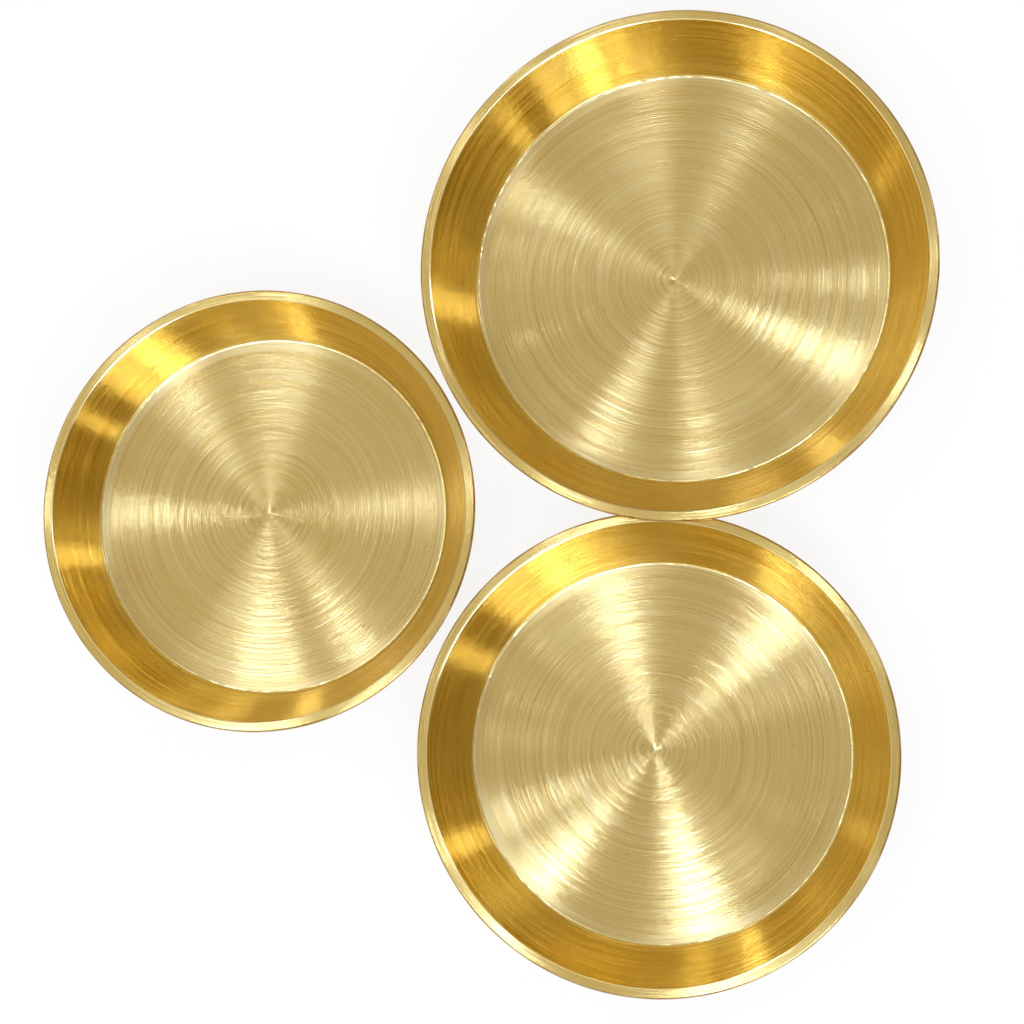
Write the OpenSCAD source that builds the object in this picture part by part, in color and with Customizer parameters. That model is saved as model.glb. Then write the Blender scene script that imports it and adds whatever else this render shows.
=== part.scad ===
// Set of three graduated brass thali plates, laid out as they stand together.
// Each plate is one spun sheet of brass: a flat faced floor, a small round heel,
// a straight flared wall, and a rim that is turned out, folded back under itself,
// pressed tight and faced flat. The small plate stands by itself on the left.
// The large plate stands behind, with its rim tucked over the medium plate's rim.
// +X is to the right, +Y to the back, +Z up. The origin is on the table, under the
// middle of the set.

/* [Small plate] */
// Diameter over the rim of the small plate
small_rim_d = 262; // [250:1:300]
// Diameter of the small plate's faced floor
small_floor_d = 214; // [180:1:225]
// Height of the small plate
small_h = 39; // [28:1:60]

/* [Medium plate] */
// Diameter over the rim of the medium plate
medium_rim_d = 276; // [265:1:320]
// Diameter of the medium plate's faced floor
medium_floor_d = 222; // [190:1:240]
// Height of the medium plate
medium_h = 39; // [28:1:60]

/* [Large plate] */
// Diameter over the rim of the large plate
large_rim_d = 300; // [285:1:340]
// Diameter of the large plate's faced floor
large_floor_d = 245; // [210:1:260]

/* [Sheet and rim] */
// Thickness of the brass sheet
sheet = 1.5; // [1:0.1:2]
// Width of the rim from its inner edge to the outside
rim_w = 5.8; // [5:0.1:9]
// Bevel along the rim's inner edge, left by facing the top
rim_bevel = 0.3; // [0.1:0.05:0.5]
// Slit between the folded edge and the wall, seen from below
fold_slit = 0.5; // [0.3:0.1:1]

/* [Floor and heel] */
// Inside radius of the heel between the floor and the wall
heel_r = 1; // [0.5:0.1:6]
// Depth of the step that facing leaves round the floor
facing_step = 0.2; // [0.05:0.05:0.4]
// Diameter of the turning mark in the middle of the floor
centre_mark_d = 2.4; // [1:0.2:5]
// Depth of the turning mark below the faced floor
centre_mark_h = 0.3; // [0.1:0.05:0.5]

/* [Layout of the set] */
// Gap between the rims of the small and the large plate
small_large_gap = 4; // [1:0.5:40]
// Gap between the rims of the small and the medium plate
small_medium_gap = 6; // [1:0.5:40]
// Height that the large rim's underside clears the medium rim by
rim_pass_gap = 2; // [0.4:0.1:10]
// Gap between the medium rim and the large plate's wall beside it
rim_side_gap = 0.4; // [0.3:0.1:20]
// Bearing of the large plate's centre from the medium plate's, from +X towards +Y
large_bearing = 86; // [70:0.1:110]

/* [Hidden] */
// Facets per turn in the preview
$fn = 180;
// Names of the plates
// Colour of the brass
brass = [0.80, 0.66, 0.32];
// Share of the turning mark's width that its flat bottom keeps
mark_tip_share = 0.3;

// Outer radii of the plates
small_r = small_rim_d / 2;
medium_r = medium_rim_d / 2;
large_r = large_rim_d / 2;

// The fold doubles the sheet, and its outside is a full round
rim_t = 2 * sheet;
fold_r = rim_t / 2;

// The large plate is taller by its own rim and the gap under it
large_h = medium_h + rim_t + rim_pass_gap;

// Length of cuts past the faces that they open
overrun = sheet;

// Depth that the wall's line starts inside the heel's arc, so that the two blend
blend_sink = 0.002;

// A point at a distance and a bearing from the centre of an arc
function polar_point(centre, radius, angle) =
    centre + radius * [cos(angle), sin(angle)];

// Centre of the heel's two arcs, in the radius and height plane
function heel_centre(floor_d) = [floor_d / 2, sheet + heel_r];

// Slope of the wall from level, tangent to the heel and up to the rim's inner edge
function wall_slope(rim_d, floor_d, h) =
    let (reach = [rim_d / 2 - rim_w, h] - heel_centre(floor_d))
    atan2(reach[1], reach[0]) + asin(heel_r / norm(reach));

// Radius of the wall's inside at a height, on its straight stretch
function wall_in_r(rim_d, floor_d, h, z) =
    rim_d / 2 - rim_w - (h - z) / tan(wall_slope(rim_d, floor_d, h));

// Radius of the wall's outside at a height, on its straight stretch
function wall_out_r(rim_d, floor_d, h, z) =
    wall_in_r(rim_d, floor_d, h, z) + sheet / sin(wall_slope(rim_d, floor_d, h));

// Distances between the centres of the plates
small_medium_span = small_r + small_medium_gap + medium_r;
small_large_span = small_r + small_large_gap + large_r;
medium_large_span = medium_r + rim_side_gap
    + wall_out_r(large_rim_d, large_floor_d, large_h, medium_h);

// Angle at the medium plate between the other two, by the cosine rule
small_turn = acos(
    (small_medium_span ^ 2 + medium_large_span ^ 2 - small_large_span ^ 2)
    / (2 * small_medium_span * medium_large_span));

// Centres of the other two plates as seen from the medium plate's
large_from_medium = polar_point([0, 0], medium_large_span, large_bearing);
small_from_medium = polar_point([0, 0], small_medium_span, large_bearing + small_turn);

// Middle of the set's outline as seen from the medium plate's centre
set_lowest = [for (axis = [0, 1]) min(
    small_from_medium[axis] - small_r, -medium_r, large_from_medium[axis] - large_r)];
set_highest = [for (axis = [0, 1]) max(
    small_from_medium[axis] + small_r, medium_r, large_from_medium[axis] + large_r)];
set_middle = (set_lowest + set_highest) / 2;

// Space under a straight wall line and its heel arc, out to an offset from the inside
module bowl_outline(rim_d, floor_d, h, offset_out, top) {
    slope = wall_slope(rim_d, floor_d, h);
    centre = heel_centre(floor_d);
    arc_r = heel_r + offset_out;
    lean_out = offset_out / sin(slope);
    polygon([
        [0, centre[1] - arc_r],
        [floor_d / 2, centre[1] - arc_r],
        polar_point(centre, arc_r - blend_sink, slope - 90),
        [wall_in_r(rim_d, floor_d, h, top) + lean_out, top],
        [0, top]
    ]);
    translate(centre) circle(r = arc_r);
}

// Rim with its folded edge, a full round outside and a slit beside the wall
module rim_outline(rim_d, floor_d, h) {
    wall_r = wall_in_r(rim_d, floor_d, h, h - rim_t);
    fold_end_r = wall_out_r(rim_d, floor_d, h, h - sheet) + fold_slit;
    edge_r = rim_d / 2 - fold_r;
    translate([wall_r, h - sheet]) square([edge_r - wall_r, sheet]);
    translate([fold_end_r, h - rim_t]) square([edge_r - fold_end_r, rim_t]);
    translate([edge_r, h - fold_r]) circle(r = fold_r);
}

// Cut that takes the corner off the rim's inner edge
module bevel_outline(rim_d, floor_d, h) {
    low = [wall_in_r(rim_d, floor_d, h, h - rim_bevel), h - rim_bevel];
    high = [rim_d / 2 - rim_w + rim_bevel, h];
    along = overrun * (high - low) / norm(high - low);
    start = low - along;
    end = high + along;
    polygon([start, end, [start[0], end[1]]]);
}

// Half section of a plate, in the radius and height plane
module plate_section(rim_d, floor_d, h) {
    difference() {
        union() {
            bowl_outline(rim_d, floor_d, h, sheet, h - sheet);
            rim_outline(rim_d, floor_d, h);
        }
        bowl_outline(rim_d, floor_d, h, 0, h + overrun);
        translate([0, sheet - facing_step]) square([floor_d / 2, facing_step + overrun]);
        bevel_outline(rim_d, floor_d, h);
    }
}

// One whole plate, standing at its own centre
module plate(rim_d, floor_d, h) {
    faced_z = sheet - facing_step;
    color(brass) difference() {
        rotate_extrude() plate_section(rim_d, floor_d, h);
        translate([0, 0, faced_z - centre_mark_h])
            cylinder(d1 = centre_mark_d * mark_tip_share, d2 = centre_mark_d,
                h = centre_mark_h);
    }
}

module small_plate() {
    translate(small_from_medium - set_middle) plate(small_rim_d, small_floor_d, small_h);
}

module medium_plate() {
    translate(-set_middle) plate(medium_rim_d, medium_floor_d, medium_h);
}

module large_plate() {
    translate(large_from_medium - set_middle) plate(large_rim_d, large_floor_d, large_h);
}

small_plate();
medium_plate();
large_plate();
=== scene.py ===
# Looks for a set of three spun brass thali plates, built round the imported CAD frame.
# Each plate is one fine lathe mesh in place of its coarse CAD node. Its faces carry the
# marks of the way it was made: a floor faced on the lathe, a polished wall, a faced rim.
import math
from collections import namedtuple

import bpy
from mathutils import Euler, Matrix, Vector


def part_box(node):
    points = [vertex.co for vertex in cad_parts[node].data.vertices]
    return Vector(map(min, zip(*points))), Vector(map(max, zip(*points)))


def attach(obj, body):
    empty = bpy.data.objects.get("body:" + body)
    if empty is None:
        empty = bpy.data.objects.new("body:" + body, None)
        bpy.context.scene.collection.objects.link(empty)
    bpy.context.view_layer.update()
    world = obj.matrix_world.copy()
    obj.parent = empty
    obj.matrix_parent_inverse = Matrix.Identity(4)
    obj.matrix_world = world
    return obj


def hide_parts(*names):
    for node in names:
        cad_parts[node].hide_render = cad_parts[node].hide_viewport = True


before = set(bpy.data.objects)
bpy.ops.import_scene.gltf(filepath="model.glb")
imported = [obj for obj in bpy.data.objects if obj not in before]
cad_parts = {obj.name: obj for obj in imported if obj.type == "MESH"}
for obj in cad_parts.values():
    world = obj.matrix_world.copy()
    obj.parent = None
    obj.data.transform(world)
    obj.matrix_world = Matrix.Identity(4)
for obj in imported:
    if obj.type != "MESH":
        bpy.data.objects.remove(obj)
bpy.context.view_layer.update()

# Sizes of the plates in metres, as in the CAD source
SHEET = 0.0015
RIM_W = 0.0058
RIM_BEVEL = 0.0003
FOLD_SLIT = 0.0005
HEEL_R = 0.0010
FACING_STEP = 0.0002
MARK_R = 0.0012
MARK_H = 0.0003
MARK_TIP_SHARE = 0.3
RIM_T = 2 * SHEET
FOLD_R = RIM_T / 2
FACED_Z = SHEET - FACING_STEP
FLOOR_DIAMETERS = {"small": 0.214, "medium": 0.222, "large": 0.245}

# Width of the bright burr round the floor, and how far down the fold's round is faced
BURR_W = 0.0008
FACED_UP_TO = math.radians(75)

# How far each floor's turning centre sits from the plate's middle, measured in the photograph
TURNED_ABOUT = {
    "small": (-0.0016, 0.0010),
    "medium": (-0.0030, 0.0014),
    "large": (-0.0035, -0.0015),
}

# What sets one plate's patterns apart from the next one's
SEED_STEP = 7.3

# Steps round a plate, the longest steps of its profile, and the turn that counts as sharp
SEGMENTS = 480
FLOOR_STEP = 0.004
WALL_STEP = 0.002
ARC_STEP = math.radians(15)
SHARP_ANGLE = math.radians(25)

# The camera was fitted to the photograph's rim and floor outlines. Sensor and lens are in
# millimetres.
CAMERA_PLACE = Vector((0.2123, -0.1399, 1.3502))
CAMERA_TURN = Euler([math.radians(a) for a in (5.827, 8.419, -2.009)], "ZYX")
SENSOR = 36
LENS = 80.86


# Arithmetic on shader nodes
class Graph:
    """A tree of shader nodes, with short calls for the sums that its patterns need."""

    def __init__(self, tree):
        self.tree = tree

    def feed(self, socket, value):
        if isinstance(value, bpy.types.NodeSocket):
            self.tree.links.new(value, socket)
        else:
            socket.default_value = value

    def node(self, kind, **settings):
        made = self.tree.nodes.new(kind)
        for key, value in settings.items():
            setattr(made, key, value)
        return made

    def math(self, operation, *values):
        made = self.node("ShaderNodeMath", operation=operation)
        for socket, value in zip(made.inputs, values):
            self.feed(socket, value)
        return made.outputs[0]

    def vector(self, operation, *values):
        made = self.node("ShaderNodeVectorMath", operation=operation)
        for socket, value in zip(made.inputs, values):
            self.feed(socket, value)
        return made.outputs["Value" if operation in ("LENGTH", "DOT_PRODUCT") else "Vector"]

    def scaled(self, vector, factor):
        made = self.node("ShaderNodeVectorMath", operation="SCALE")
        self.feed(made.inputs["Vector"], vector)
        self.feed(made.inputs["Scale"], factor)
        return made.outputs["Vector"]

    def parts(self, vector):
        made = self.node("ShaderNodeSeparateXYZ")
        self.feed(made.inputs[0], vector)
        return made.outputs

    def joined(self, x, y, z):
        made = self.node("ShaderNodeCombineXYZ")
        for socket, value in zip(made.inputs, (x, y, z)):
            self.feed(socket, value)
        return made.outputs[0]

    def noise(self, vector, detail, scale=1.0, output="Fac"):
        made = self.node("ShaderNodeTexNoise")
        self.feed(made.inputs["Vector"], vector)
        self.feed(made.inputs["Scale"], scale)
        self.feed(made.inputs["Detail"], detail)
        return made.outputs[output]

    def spread(self, value, low, high, start=0.0, end=1.0):
        """A number that goes from low to high while the value goes from start to end."""
        made = self.node("ShaderNodeMapRange", clamp=True)
        for key, given in zip(
            ("Value", "From Min", "From Max", "To Min", "To Max"), (value, start, end, low, high)
        ):
            self.feed(made.inputs[key], given)
        return made.outputs[0]

    def blend(self, factor, first, second):
        made = self.node("ShaderNodeMix", data_type="RGBA")
        self.feed(made.inputs["Factor"], factor)
        self.feed(made.inputs[6], first)
        self.feed(made.inputs[7], second)
        return made.outputs[2]

    def bump(self, height, distance):
        made = self.node("ShaderNodeBump")
        self.feed(made.inputs["Height"], height)
        self.feed(made.inputs["Distance"], distance)
        return made.outputs["Normal"]

    def place(self):
        return self.node("ShaderNodeTexCoord").outputs["Object"]


class Surface(Graph):
    """The node tree of a new material, with its shader."""

    def __init__(self, name):
        self.material = bpy.data.materials.new(name)
        self.material.use_nodes = True
        super().__init__(self.material.node_tree)
        self.shader = self.tree.nodes["Principled BSDF"]

    def set(self, **values):
        for key, value in values.items():
            self.feed(self.shader.inputs[key.replace("_", " ")], value)


def new_brass(name):
    """The node tree of a new material that is all metal."""
    graph = Surface(name)
    graph.set(Metallic=1.0)
    return graph


def colour(red, green, blue):
    return (red, green, blue, 1.0)


# Brass as the lathe, the polishing wheel and the hand leave it
FACED_BRASS = colour(0.94, 0.78, 0.45)
FACED_BRASS_DARK = colour(0.79, 0.56, 0.17)
FACED_BRASS_BROWN = colour(0.72, 0.46, 0.16)
CUT_BRASS = colour(0.97, 0.83, 0.47)
BORDER_BRASS = colour(0.97, 0.82, 0.46)
BORDER_BRASS_DARK = colour(0.84, 0.62, 0.25)
RIM_BRASS = colour(0.97, 0.76, 0.33)
RIM_BRASS_DARK = colour(0.86, 0.63, 0.22)
POLISHED_BRASS = colour(0.95, 0.74, 0.26)
POLISHED_BRASS_DARK = colour(0.58, 0.35, 0.01)
# Dark brass: painted shade on the folded edge's round and in the corner crease, and the dark of the
# pits
EDGE_BRASS = colour(0.48, 0.28, 0.06)
UNDER_BRASS = colour(0.88, 0.67, 0.28)
UNDER_BRASS_DARK = colour(0.68, 0.45, 0.13)

# One layer of marks that run round a plate: the distance from mark to mark in metres, how
# fast a mark changes round a turn, what sets the layer apart, and how fine its noise is
Marks = namedtuple("Marks", "pitch turns apart detail")

FLOOR_BANDS = Marks(0.0060, 0.6, 0, 1.0)
FLOOR_LINES = Marks(0.0006, 0.5, 40, 1.0)
FLOOR_STAINS = Marks(0.0030, 1.0, 60, 2.0)
FLOOR_GROOVES = Marks(0.0004, 0.7, 120, 0.0)
FLOOR_GRAIN = Marks(0.00012, 2.0, 160, 0.0)
WALL_LINES = Marks(0.0016, 1.0, 0, 3.0)
WALL_STROKES = Marks(0.0040, 6.0, 20, 2.0)
WALL_HAIRS = Marks(0.0008, 2.0, 30, 1.0)
RIM_LINES = Marks(0.0010, 2.0, 0, 2.0)
RIM_HAIRS = Marks(0.0003, 4.0, 40, 1.0)
OUTSIDE_LINES = Marks(0.0010, 1.0, 0, 2.0)

# The middle of a noise value's swing, and the part of it that most values fall in
NOISE_MIDDLE = 0.5
MIDDLE_SWING = (0.3, 0.7)

# Blender's roughness is this power of the product of a highlight's two spreads, and full
# anisotropy makes the narrow spread smaller than the wide one by this share
ROUGHNESS_POWER = 0.25
FULL_ANISOTROPY = 0.9


def gloss(across, along):
    """Roughness and anisotropy that give a highlight these two spreads, as slopes."""
    return (across * along) ** ROUGHNESS_POWER, (1 - along / across) / FULL_ANISOTROPY


def about(graph, centre):
    """Offset from a turning centre in plan, its length, and its direction."""
    flat = graph.vector("MULTIPLY", graph.place(), (1.0, 1.0, 0.0))
    offset = graph.vector("SUBTRACT", flat, (centre[0], centre[1], 0.0))
    return offset, graph.vector("LENGTH", offset), graph.vector("NORMALIZE", offset)


def along_marks(graph, marks, depth, direction, seed):
    """Coordinates that change fast from mark to mark, and slowly along each."""
    way = graph.parts(direction)
    return graph.joined(
        graph.math("MULTIPLY", way[0], marks.turns),
        graph.math("MULTIPLY", way[1], marks.turns),
        graph.math("ADD", graph.math("DIVIDE", depth, marks.pitch), seed + marks.apart),
    )


def shade_of_marks(graph, marks, depth, direction, seed):
    """How light each mark is, from 0 to 1."""
    return graph.noise(along_marks(graph, marks, depth, direction, seed), marks.detail)


def sway_of_marks(graph, marks, depth, direction, seed):
    """Three errors that differ from mark to mark, each swinging about zero."""
    place = along_marks(graph, marks, depth, direction, seed)
    errors = graph.noise(place, marks.detail, output="Color")
    return graph.vector("SUBTRACT", errors, (NOISE_MIDDLE, NOISE_MIDDLE, NOISE_MIDDLE))


def centred(graph, value, reach):
    """A noise value made to swing about zero."""
    return graph.math("MULTIPLY", graph.math("SUBTRACT", value, NOISE_MIDDLE), reach)


def leaning(graph, direction, slope):
    """The surface's normal, leaned along a direction by a slope."""
    normal = graph.node("ShaderNodeNewGeometry").outputs["Normal"]
    return graph.vector("NORMALIZE", graph.vector("ADD", normal, graph.scaled(direction, slope)))


# Small pits in the sheet. A mask, like every spread here, is given as its value at the
# start, its value at the end, the start and the end.
PIT_SCALE = 45.0
PIT_MASK = (0.55, 0.0, 0.012, 0.030)


def pits(graph):
    """Mask of the few small pits in the sheet."""
    cells = graph.node("ShaderNodeTexVoronoi", voronoi_dimensions="2D")
    graph.feed(cells.inputs["Vector"], graph.place())
    graph.feed(cells.inputs["Scale"], PIT_SCALE)
    return graph.spread(cells.outputs["Distance"], *PIT_MASK)


# The faced floor's turning: how far a groove wanders from round, and how far the grain and
# the grooves turn about places beside the turning centre, by the distance from it
WANDER = 0.0006
WANDER_SCALE = 9.0
WANDER_DETAIL = 1.0
GRAIN_REACH = (0.032, 0.003, 0.045, 0.100)
GRAIN_REACH_INSIDE = (0.1, 1.0, 0.0, 0.035)
GROOVE_REACH = 0.002

# Slopes of the floor's ridges, and its gloss near the middle and out towards the border
RIDGE_SLOPE = (0.3, 0.8, 0.030, 0.100)
FLOOR_LINE_SLOPE = 0.08
MIDDLE_ROUGHNESS, FLOOR_ANISOTROPY = gloss(0.11, 0.011)
OUTER_ROUGHNESS, _ = gloss(0.18, 0.018)
BORDER_ROUGHNESS, _ = gloss(0.40, 0.040)
GLOSS_RADII = (0.030, 0.100)

# Colour of the floor's marks, and the coarser border's place inside the floor's edge
BAND_SHARE = 0.3
FLOOR_TONE = (0.0, 1.0, 0.20, 1.10)
STAIN_MASK = (0.0, 0.35, 0.56, 0.74)
BORDER_LINES = (0.0, 1.0, 0.35, 0.65)
BORDER_SHARE = 0.8
BORDER_INSET = 0.0062
BORDER_FULL_INSET = 0.0050


def across_grooves(graph, offset, radius, grain, grooves):
    """Direction across the grooves, which errs most inside and least at the border."""
    reach = graph.spread(radius, *GRAIN_REACH)
    reach = graph.math("MULTIPLY", reach, graph.spread(radius, *GRAIN_REACH_INSIDE))
    shift = graph.vector("ADD", graph.scaled(grain, reach), graph.scaled(grooves, GROOVE_REACH))
    across = graph.vector("MULTIPLY", graph.vector("ADD", offset, shift), (1.0, 1.0, 0.0))
    return graph.vector("NORMALIZE", across)


def ridge_slope(graph, radius, grain, lines):
    """Lean of the ridges' sides, which throws the light outwards."""
    ridges = graph.spread(radius, *RIDGE_SLOPE)
    slope = graph.math("MULTIPLY", graph.parts(grain)[2], ridges)
    return graph.math("ADD", slope, centred(graph, lines, FLOOR_LINE_SLOPE))


def floor_tint(graph, lines, bands, stains):
    """Colour of the turned floor, with brown stains that run along the marks."""
    tone = graph.math("ADD", lines, graph.math("MULTIPLY", bands, BAND_SHARE))
    tint = graph.blend(graph.spread(tone, *FLOOR_TONE), FACED_BRASS_DARK, FACED_BRASS)
    return graph.blend(graph.spread(stains, *STAIN_MASK), tint, FACED_BRASS_BROWN)


def border_mask(graph, middle, floor_r):
    """Mask of the coarser border, which runs about the plate's own middle."""
    _, from_middle, _ = about(graph, middle)
    return graph.spread(
        from_middle, 0.0, BORDER_SHARE, floor_r - BORDER_INSET, floor_r - BORDER_FULL_INSET
    )


def faced_floor(name, centre, middle, floor_r, seed):
    """Turning marks: fine grooves that throw the light outwards, and less in line near the middle."""
    graph = new_brass(name)
    offset, radius, direction = about(graph, centre)
    wander = graph.noise(graph.scaled(offset, WANDER_SCALE), WANDER_DETAIL)
    depth = graph.math("ADD", radius, graph.math("MULTIPLY", wander, WANDER))
    bands = shade_of_marks(graph, FLOOR_BANDS, depth, direction, seed)
    lines = shade_of_marks(graph, FLOOR_LINES, depth, direction, seed)
    stains = shade_of_marks(graph, FLOOR_STAINS, depth, direction, seed)
    grooves = sway_of_marks(graph, FLOOR_GROOVES, depth, direction, seed)
    grain = sway_of_marks(graph, FLOOR_GRAIN, depth, direction, seed)
    across = across_grooves(graph, offset, radius, grain, grooves)
    border = border_mask(graph, middle, floor_r)
    fine = graph.blend(graph.spread(lines, *BORDER_LINES), BORDER_BRASS_DARK, BORDER_BRASS)
    tint = graph.blend(border, floor_tint(graph, lines, bands, stains), fine)
    roughness = graph.spread(radius, MIDDLE_ROUGHNESS, OUTER_ROUGHNESS, *GLOSS_RADII)
    graph.set(
        Base_Color=graph.blend(pits(graph), tint, EDGE_BRASS),
        Roughness=graph.spread(border, roughness, BORDER_ROUGHNESS),
        Anisotropic=FLOOR_ANISOTROPY,
        Tangent=across,
        Normal=leaning(graph, across, ridge_slope(graph, radius, grain, lines)),
    )
    return graph.material


# The polished wall: its clouds, its tone, the slopes of its three layers, and its gloss
CLOUDS = {"scale": 28.0, "detail": 3.0}
CLOUD_SHARE = 0.3
WALL_TONE = (0.0, 1.0, 0.75, 1.55)
WALL_LINE_SLOPE = 0.12
WALL_STROKE_SLOPE = 0.06
WALL_HAIR_SLOPE = 0.28
WALL_ROUGHNESS, WALL_ANISOTROPY = gloss(0.12, 0.015)
WALL_ROUGHNESS_SHARES = (0.85, 1.15)


def polished_wall(name, centre, seed):
    """A near mirror with the polishing wheel's fine lines round it."""
    graph = new_brass(name)
    _, _, direction = about(graph, centre)
    height = graph.parts(graph.place())[2]
    lines = shade_of_marks(graph, WALL_LINES, height, direction, seed)
    strokes = shade_of_marks(graph, WALL_STROKES, height, direction, seed)
    hairs = shade_of_marks(graph, WALL_HAIRS, height, direction, seed)
    clouds = graph.noise(graph.place(), **CLOUDS)
    tone = graph.math("ADD", lines, hairs)
    tone = graph.math("ADD", tone, graph.math("MULTIPLY", clouds, CLOUD_SHARE))
    tone = graph.spread(tone, *WALL_TONE)
    slope = graph.math(
        "ADD", centred(graph, lines, WALL_LINE_SLOPE), centred(graph, strokes, WALL_STROKE_SLOPE)
    )
    slope = graph.math("ADD", slope, centred(graph, hairs, WALL_HAIR_SLOPE))
    rough = [WALL_ROUGHNESS * share for share in WALL_ROUGHNESS_SHARES]
    graph.set(
        Base_Color=graph.blend(tone, POLISHED_BRASS_DARK, POLISHED_BRASS),
        Roughness=graph.spread(clouds, *rough, *MIDDLE_SWING),
        Anisotropic=WALL_ANISOTROPY,
        Tangent=direction,
        Normal=leaning(graph, (0.0, 0.0, 1.0), slope),
    )
    return graph.material


# The bright cut, the burr and the crease: their noise, their roughness and the burr's lean
CUT_RUBS = {"scale": 90.0, "detail": 2.0}
CUT_ROUGHNESS = (0.16, 0.26)
BURR_NICKS = {"scale": 120.0, "detail": 2.0}
BURR_ROUGHNESS = 0.25
BURR_LEAN = (-0.15, -0.60)
CREASE_SHADE_NOISE = {"scale": 70.0, "detail": 3.0}
CREASE_ROUGHNESS = (0.30, 0.45)


def bright_cut(name):
    """The narrow bright line where a tool has cut across the brass."""
    graph = new_brass(name)
    rubs = graph.noise(graph.place(), **CUT_RUBS)
    graph.set(
        Base_Color=graph.blend(rubs, FACED_BRASS, CUT_BRASS),
        Roughness=graph.spread(rubs, *CUT_ROUGHNESS, *MIDDLE_SWING),
    )
    return graph.material


def burred_edge(name, centre):
    """The bright burr round the floor, which leans in and catches the light from across."""
    graph = new_brass(name)
    _, _, direction = about(graph, centre)
    nicks = graph.noise(graph.place(), **BURR_NICKS)
    graph.set(
        Base_Color=CUT_BRASS,
        Roughness=BURR_ROUGHNESS,
        Normal=leaning(graph, direction, graph.spread(nicks, *BURR_LEAN, *MIDDLE_SWING)),
    )
    return graph.material


def shaded_crease(name):
    """The dark line in the corner crease: painted shade, varied by noise."""
    graph = new_brass(name)
    shade_noise = graph.noise(graph.place(), **CREASE_SHADE_NOISE)
    graph.set(
        # Painted shade: dark brass in the corner where the floor meets the wall
        Base_Color=graph.blend(shade_noise, EDGE_BRASS, POLISHED_BRASS_DARK),
        Roughness=graph.spread(shade_noise, *CREASE_ROUGHNESS, *MIDDLE_SWING),
    )
    return graph.material


# The faced rim: the slopes of its two layers of marks, and its gloss
RIM_LINE_SLOPE = 0.4
RIM_HAIR_SLOPE = 1.0
RIM_ROUGHNESS, RIM_ANISOTROPY = gloss(0.18, 0.022)


def faced_rim(name, centre, seed):
    """The flat top of the rim, with the facing tool's marks round it."""
    graph = new_brass(name)
    _, radius, direction = about(graph, centre)
    lines = shade_of_marks(graph, RIM_LINES, radius, direction, seed)
    hairs = shade_of_marks(graph, RIM_HAIRS, radius, direction, seed)
    slope = graph.math(
        "ADD", centred(graph, hairs, RIM_HAIR_SLOPE), centred(graph, lines, RIM_LINE_SLOPE)
    )
    tone = graph.spread(lines, 0.0, 1.0, *MIDDLE_SWING)
    graph.set(
        Base_Color=graph.blend(tone, RIM_BRASS_DARK, RIM_BRASS),
        Roughness=RIM_ROUGHNESS,
        Anisotropic=RIM_ANISOTROPY,
        Tangent=direction,
        Normal=leaning(graph, direction, slope),
    )
    return graph.material


# The folded edge: how far it is rubbed bright, and its roughness
EDGE_RUBS = {"scale": 45.0, "detail": 2.0}
RUB_MASK = (0.0, 0.4, 0.40, 0.70)
EDGE_ROUGHNESS = (0.22, 0.34)


def shaded_fold_edge(name):
    """The folded edge, painted darker than the faced top as painted shade, and rubbed bright in
    places.
    """
    graph = new_brass(name)
    rubs = graph.noise(graph.place(), **EDGE_RUBS)
    graph.set(
        # The edge's dark colour is painted shade, standing in for the dark reflection on its round
        Base_Color=graph.blend(graph.spread(rubs, *RUB_MASK), EDGE_BRASS, FACED_BRASS),
        Roughness=graph.spread(rubs, *EDGE_ROUGHNESS, *MIDDLE_SWING),
    )
    return graph.material


# The outside as the spinning tool left it: its stains, its tone, its gloss and its marks' depth
OUTSIDE_STAINS = {"scale": 22.0, "detail": 4.0}
OUTSIDE_TONE = (0.0, 1.0, 0.6, 1.4)
OUTSIDE_ROUGHNESS, OUTSIDE_ANISOTROPY = gloss(0.20, 0.03)
OUTSIDE_ROUGHNESS_SHARES = (0.9, 1.2)
OUTSIDE_MARK_H = 0.00003


def spun_outside(name, centre, seed):
    """The outside and the underside, duller than the inside, with the spinning tool's marks."""
    graph = new_brass(name)
    _, radius, direction = about(graph, centre)
    depth = graph.math("ADD", radius, graph.parts(graph.place())[2])
    lines = shade_of_marks(graph, OUTSIDE_LINES, depth, direction, seed)
    stains = graph.noise(graph.place(), **OUTSIDE_STAINS)
    tone = graph.spread(graph.math("ADD", lines, stains), *OUTSIDE_TONE)
    rough = [OUTSIDE_ROUGHNESS * share for share in OUTSIDE_ROUGHNESS_SHARES]
    graph.set(
        Base_Color=graph.blend(tone, UNDER_BRASS_DARK, UNDER_BRASS),
        Roughness=graph.spread(stains, *rough, *MIDDLE_SWING),
        Anisotropic=OUTSIDE_ANISOTROPY,
        Tangent=direction,
        Normal=graph.bump(lines, OUTSIDE_MARK_H),
    )
    return graph.material


# Profile of a plate, in the radius and height plane
def arc(centre, radius, start, end):
    """Points along an arc, both ends included."""
    count = max(2, math.ceil(abs(end - start) / ARC_STEP))
    angles = [start + (end - start) * i / count for i in range(count + 1)]
    return [centre + radius * Vector((math.cos(a), math.sin(a))) for a in angles]


def line(start, end, step):
    """Points along a straight stretch, both ends included."""
    count = max(1, math.ceil((end - start).length / step))
    return [start.lerp(end, i / count) for i in range(count + 1)]


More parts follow.
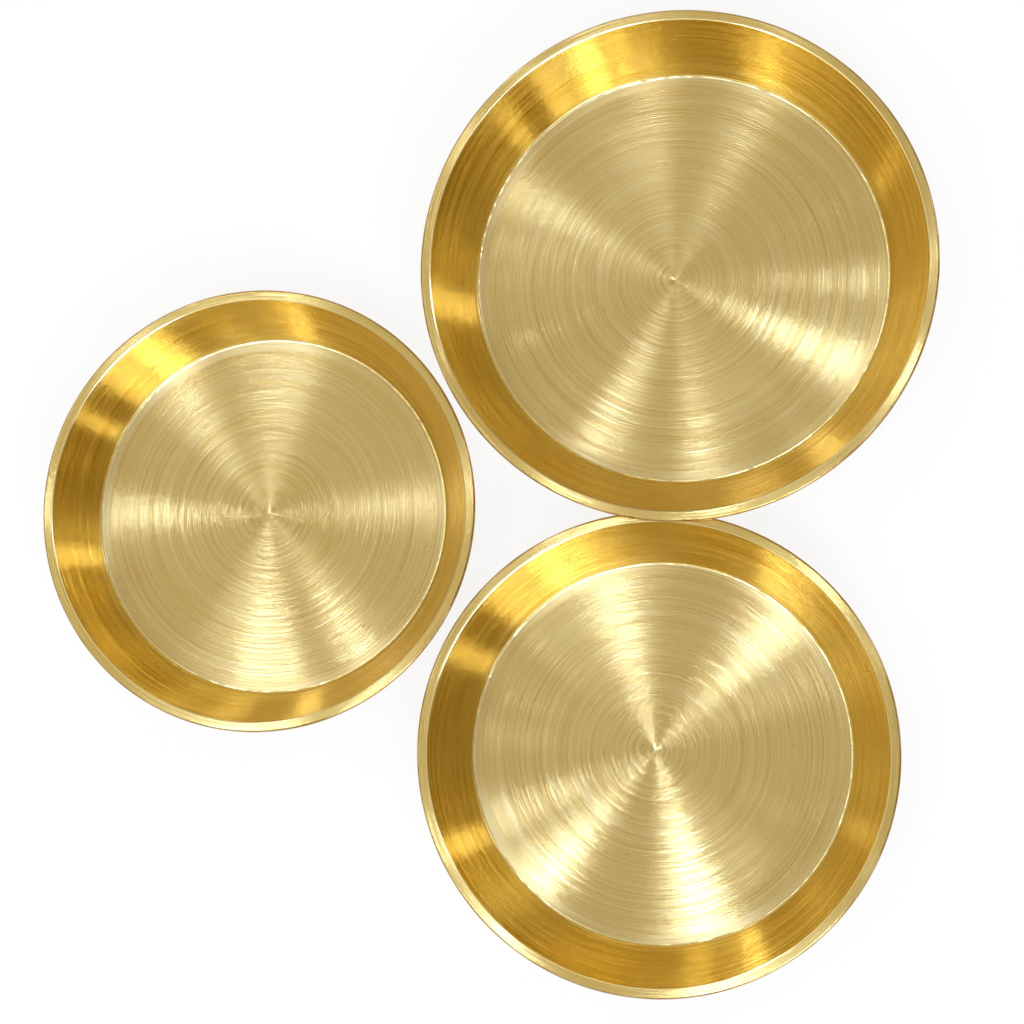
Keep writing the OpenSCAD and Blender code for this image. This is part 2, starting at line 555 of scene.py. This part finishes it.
class Profile:
    """The sizes that a plate's section is drawn from."""

    def __init__(self, rim_r, floor_r, top):
        self.rim_r = rim_r
        self.floor_r = floor_r
        self.top = top
        self.heel = Vector((floor_r, SHEET + HEEL_R))
        reach = Vector((rim_r - RIM_W, top)) - self.heel
        self.slope = math.atan2(reach.y, reach.x) + math.asin(HEEL_R / reach.length)

    def wall_in(self, z):
        return Vector((self.rim_r - RIM_W - (self.top - z) / math.tan(self.slope), z))

    def wall_out(self, z):
        return self.wall_in(z) + Vector((SHEET / math.sin(self.slope), 0))

    def inside_runs(self):
        """Stretches from the middle of the floor out to the top of the wall."""
        down = -math.pi / 2
        lean = self.slope - math.pi / 2
        heel_turn = (down + lean) / 2
        tip = MARK_R * MARK_TIP_SHARE
        mark_z = FACED_Z - MARK_H
        mark_edge = Vector((MARK_R, FACED_Z))
        burr = Vector((self.floor_r - BURR_W, FACED_Z))
        floor_edge = Vector((self.floor_r, FACED_Z))
        foot = self.heel + Vector((0, -HEEL_R))
        wall_start = arc(self.heel, HEEL_R, heel_turn, lean)[-1]
        return [
            ("floor", line(Vector((0, mark_z)), Vector((tip, mark_z)), tip)),
            ("floor", line(Vector((tip, mark_z)), mark_edge, MARK_R)),
            ("floor", line(mark_edge, burr, FLOOR_STEP)),
            ("burr", line(burr, floor_edge, BURR_W)),
            ("crease", line(floor_edge, foot, FACING_STEP)),
            ("crease", arc(self.heel, HEEL_R, down, heel_turn)),
            ("cut", arc(self.heel, HEEL_R, heel_turn, lean)),
            ("wall", line(wall_start, self.wall_in(self.top - RIM_BEVEL), WALL_STEP)),
        ]

    def rim_runs(self):
        """Stretches over the bevel and the rim, and round its folded edge."""
        edge = Vector((self.rim_r - FOLD_R, self.top - FOLD_R))
        crest = Vector((self.rim_r - RIM_W + RIM_BEVEL, self.top))
        return [
            ("cut", line(self.wall_in(self.top - RIM_BEVEL), crest, RIM_BEVEL * 2)),
            ("rim", line(crest, Vector((edge.x, self.top)), WALL_STEP)),
            ("rim", arc(edge, FOLD_R, math.pi / 2, FACED_UP_TO)),
            ("edge", arc(edge, FOLD_R, FACED_UP_TO, -math.pi / 2)),
        ]

    def outside_runs(self):
        """Stretches under the rim, up its slit, down the wall and in to the middle below."""
        slit_top = self.top - SHEET
        slit_foot = self.top - RIM_T
        edge_r = self.rim_r - FOLD_R
        fold_end = self.wall_out(slit_top).x + FOLD_SLIT
        lean = self.slope - math.pi / 2
        wall_foot = arc(self.heel, HEEL_R + SHEET, lean, -math.pi / 2)
        wall = line(self.wall_out(slit_top), wall_foot[0], WALL_STEP) + wall_foot[1:]
        return [
            ("outside", line(Vector((edge_r, slit_foot)), Vector((fold_end, slit_foot)), WALL_STEP)),
            ("outside", line(Vector((fold_end, slit_foot)), Vector((fold_end, slit_top)), SHEET)),
            ("outside", line(Vector((fold_end, slit_top)), self.wall_out(slit_top), SHEET)),
            ("outside", wall),
            ("outside", line(wall_foot[-1], Vector((0, 0)), FLOOR_STEP)),
        ]

    def section(self):
        """Points of the whole section, and the finish of the stretch up to each but the first."""
        points = []
        kinds = []
        for kind, run in self.inside_runs() + self.rim_runs() + self.outside_runs():
            for point in run[1 if points else 0:]:
                if points:
                    kinds.append(kind)
                points.append(point)
        return points, kinds


# Lathe mesh of a whole section
def ring_places(points, kinds, centre, turned_about):
    """Places of the rings, which move from the turning centre to the plate's middle."""
    turns = [2 * math.pi * i / SEGMENTS for i in range(SEGMENTS)]
    ways = [Vector((math.cos(a), math.sin(a))) for a in turns]
    flat_r = max(point.x for point, kind in zip(points[1:], kinds) if kind == "floor")
    places = [(*turned_about, points[0].y)]
    for point, kind in zip(points[1:-1], kinds):
        middle = turned_about.lerp(centre, point.x / flat_r) if kind == "floor" else centre
        places += [(*(middle + way * point.x), point.y) for way in ways]
    places.append((*centre, points[-1].y))
    return places


def ring_faces(stretches):
    """Faces of every stretch in turn: a fan at each end, and bands between them."""

    def around(ring, step):
        return 1 + (ring - 1) * SEGMENTS + step % SEGMENTS

    end = around(stretches, 0)
    faces = [(0, around(1, step), around(1, step + 1)) for step in range(SEGMENTS)]
    for ring in range(1, stretches - 1):
        for step in range(SEGMENTS):
            near = around(ring, step)
            next_near = around(ring, step + 1)
            faces.append((near, around(ring + 1, step), around(ring + 1, step + 1), next_near))
    last = stretches - 1
    faces += [(around(last, step), end, around(last, step + 1)) for step in range(SEGMENTS)]
    return faces


def turned_mesh(name, profile, centre, turned_about, finishes):
    """Lathe mesh of a whole section, whose turning mark sits at the floor's own centre."""
    points, kinds = profile.section()
    mesh = bpy.data.meshes.new(name)
    places = ring_places(points, kinds, centre, turned_about)
    mesh.from_pydata(places, [], ring_faces(len(kinds)))
    for finish in finishes.values():
        mesh.materials.append(finish)
    order = list(finishes)
    slots = [order.index(kind) for kind in kinds for _ in range(SEGMENTS)]
    mesh.polygons.foreach_set("material_index", slots)
    mesh.polygons.foreach_set("use_smooth", [True] * len(slots))
    mesh.set_sharp_from_angle(angle=SHARP_ANGLE)
    mesh.update()
    return mesh


def plate_finishes(size, middle, turned_about, floor_r, seed):
    """A material for each kind of face that a plate has."""
    return {
        "floor": faced_floor(f"{size}_floor_brass", turned_about, middle, floor_r, seed),
        "wall": polished_wall(f"{size}_wall_brass", middle, seed),
        "burr": burred_edge(f"{size}_burr_brass", middle),
        "cut": bright_cut(f"{size}_cut_brass"),
        "crease": shaded_crease(f"{size}_crease_brass"),
        "rim": faced_rim(f"{size}_rim_brass", middle, seed),
        "edge": shaded_fold_edge(f"{size}_edge_brass"),
        "outside": spun_outside(f"{size}_outside_brass", middle, seed),
    }


def build_plate(size, seed):
    """One plate in place of its CAD node, riding on its own body."""
    node = f"{size}_plate"
    low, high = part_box(node)
    middle = Vector(((low.x + high.x) / 2, (low.y + high.y) / 2))
    rim_r = min(high.x - low.x, high.y - low.y) / 2
    floor_r = FLOOR_DIAMETERS[size] / 2
    turned_about = middle + Vector(TURNED_ABOUT[size])
    finishes = plate_finishes(size, middle, turned_about, floor_r, seed)
    profile = Profile(rim_r, floor_r, high.z)
    mesh = turned_mesh(f"{size}_thali", profile, middle, turned_about, finishes)
    piece = bpy.data.objects.new(f"{size}_thali", mesh)
    bpy.context.scene.collection.objects.link(piece)
    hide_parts(node)
    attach(piece, size)


# Stage: a table top just under the plates, dull to the lamps and white to the camera
TABLE_HALF = 6.0
TABLE_DROP = 0.0002
TABLE_GREY = colour(0.14, 0.14, 0.14)
TABLE_ROUGHNESS = 0.9
TABLE_GLOW = 0.86
WHITE = colour(1, 1, 1)


def white_table():
    """A material that glows white to the camera and in the brass, and takes soft shadows."""
    graph = Surface("white_table")
    graph.set(Base_Color=TABLE_GREY, Roughness=TABLE_ROUGHNESS, Specular_IOR_Level=0.0)
    path = graph.node("ShaderNodeLightPath")
    seen = graph.math("MAXIMUM", path.outputs["Is Camera Ray"], path.outputs["Is Glossy Ray"])
    graph.set(Emission_Color=WHITE, Emission_Strength=graph.math("MULTIPLY", seen, TABLE_GLOW))
    return graph.material


def build_table():
    """A white table top, which keeps the plates' shadows."""
    mesh = bpy.data.meshes.new("table_top")
    corners = [
        (x * TABLE_HALF, y * TABLE_HALF, -TABLE_DROP)
        for x, y in ((-1, -1), (1, -1), (1, 1), (-1, 1))
    ]
    mesh.from_pydata(corners, [], [(0, 1, 2, 3)])
    mesh.materials.append(white_table())
    table = bpy.data.objects.new("table_top", mesh)
    bpy.context.scene.collection.objects.link(table)


# Brightness of the dome by the sine of the elevation, set near the levels that the fit of the lamps
# gave
DOME = {0.0: 0.15, 0.3: 0.25, 0.45: 0.40, 0.57: 1.20, 0.70: 0.42, 0.85: 0.48, 1.0: 0.56}

# The dome's warm colour, and how much it darkens towards each axis
DOME_WARMTH = (1.0, 0.94, 0.72)
DOME_SHADE = (0.45, -0.06, 0.0)


def dome_colour(graph, height):
    """Light of the dome at the sine of an elevation."""
    made = graph.node("ShaderNodeValToRGB")
    graph.feed(made.inputs["Fac"], height)
    stops = made.color_ramp.elements
    while len(stops) < len(DOME):
        stops.new(0.5)
    for stop, (place, level) in zip(stops, DOME.items()):
        stop.position = place
        stop.color = colour(*(level * share for share in DOME_WARMTH))
    return made.outputs["Color"]


def build_world():
    """A plain pale dome, brightest half way up and darker on the right, white to the camera."""
    world = bpy.data.worlds.new("dome")
    world.use_nodes = True
    graph = Graph(world.node_tree)
    way = graph.node("ShaderNodeTexCoord").outputs["Generated"]
    dome = world.node_tree.nodes["Background"]
    graph.feed(dome.inputs["Color"], dome_colour(graph, graph.parts(way)[2]))
    shade = graph.vector("DOT_PRODUCT", way, DOME_SHADE)
    graph.feed(dome.inputs["Strength"], graph.math("SUBTRACT", 1.0, shade))
    backdrop = graph.node("ShaderNodeBackground")
    graph.feed(backdrop.inputs["Color"], WHITE)
    seen = graph.node("ShaderNodeMixShader")
    path = graph.node("ShaderNodeLightPath")
    graph.feed(seen.inputs["Fac"], path.outputs["Is Camera Ray"])
    graph.feed(seen.inputs[1], dome.outputs[0])
    graph.feed(seen.inputs[2], backdrop.outputs[0])
    graph.feed(world.node_tree.nodes["World Output"].inputs["Surface"], seen.outputs[0])
    bpy.context.scene.world = world


# Lamps, all turned to the middle of the set: place, width of the disc, power in watts.
# A scratch program's fit to the photograph gave the first powers and all the places but
# desk_middle's. The powers were then changed.
LAMPS = {
    "desk_left": ((-0.35, -0.10, 0.60), 0.08, 0.03),
    "desk_left_high": ((-0.63, 0.10, 0.76), 0.06, 0.14),
    "desk_front_left": ((-0.39, -0.31, 1.00), 0.10, 0.29),
    "desk_front": ((-0.30, -0.50, 0.90), 0.08, 0.45),
    "desk_front_high": ((0.00, -0.90, 2.00), 0.20, 0.90),
    "desk_middle": ((-0.05, 0.10, 0.90), 0.06, 0.05),
    "desk_back": ((-0.21, 0.44, 0.60), 0.08, 0.08),
    "desk_right": ((0.31, 0.13, 0.61), 0.06, 0.13),
    "desk_right_high": ((0.36, 0.14, 1.00), 0.08, 0.14),
    "desk_far_right": ((0.55, 0.30, 0.90), 0.08, 0.20),
    "ceiling_front": ((0.04, -1.45, 4.06), 0.25, 5.0),
    "ceiling_front_right": ((0.28, -1.60, 3.65), 0.30, 4.6),
    "ceiling_front_low": ((0.25, -2.34, 3.24), 0.35, 8),
    "ceiling_left": ((-1.25, -1.05, 3.65), 0.30, 3.6),
    "ceiling_left_low": ((-1.20, -1.27, 2.80), 0.20, 2.1),
    "ceiling_back_left": ((-1.90, 1.38, 3.24), 0.35, 1.6),
    "ceiling_far_front": ((2.40, -5.45, 4.08), 1.00, 35.5),
    "ceiling_far_right": ((3.38, -4.31, 4.07), 1.00, 36.5),
    "window_front": ((0.78, -2.92, 2.62), 0.50, 13),
    "window_front_low": ((1.33, -3.20, 2.00), 0.50, 8.6),
    "window_front_right": ((1.51, -2.61, 2.62), 0.50, 12),
    "window_right_front": ((2.71, -1.76, 2.35), 0.40, 7),
    "window_right": ((3.20, 1.33, 2.00), 0.50, 7.5),
    "window_back": ((-0.78, 2.92, 2.62), 0.50, 4.0),
    "window_back_left": ((-1.77, 3.06, 1.88), 0.40, 7.3),
    "window_left": ((-1.73, -2.30, 2.78), 0.40, 8.6),
}

# The lamps' light is a little cool, which pales the highlights
LAMP_COLOUR = (0.78, 0.92, 1.2)


def build_lamps():
    """Soft discs that the camera doesn't see, but that the brass mirrors."""
    for name, (place, width, power) in LAMPS.items():
        lamp = bpy.data.lights.new(name, "AREA")
        lamp.shape = "DISK"
        lamp.size = width
        lamp.energy = power
        lamp.color = LAMP_COLOUR
        holder = bpy.data.objects.new(name, lamp)
        holder.location = place
        holder.rotation_euler = Vector(place).to_track_quat("Z", "Y").to_euler()
        holder.visible_camera = False
        bpy.context.scene.collection.objects.link(holder)


def build_camera():
    """The camera that the photograph was taken with, as far as it could be fitted."""
    data = bpy.data.cameras.new("camera")
    data.sensor_width = SENSOR
    data.lens = LENS
    camera = bpy.data.objects.new("camera", data)
    camera.matrix_world = Matrix.Translation(CAMERA_PLACE) @ CAMERA_TURN.to_matrix().to_4x4()
    bpy.context.scene.collection.objects.link(camera)
    bpy.context.scene.camera = camera


bpy.context.scene.view_settings.view_transform = "Standard"
build_camera()
build_world()
build_table()
build_lamps()
for number, size in enumerate(FLOOR_DIAMETERS):
    build_plate(size, number * SEED_STEP)
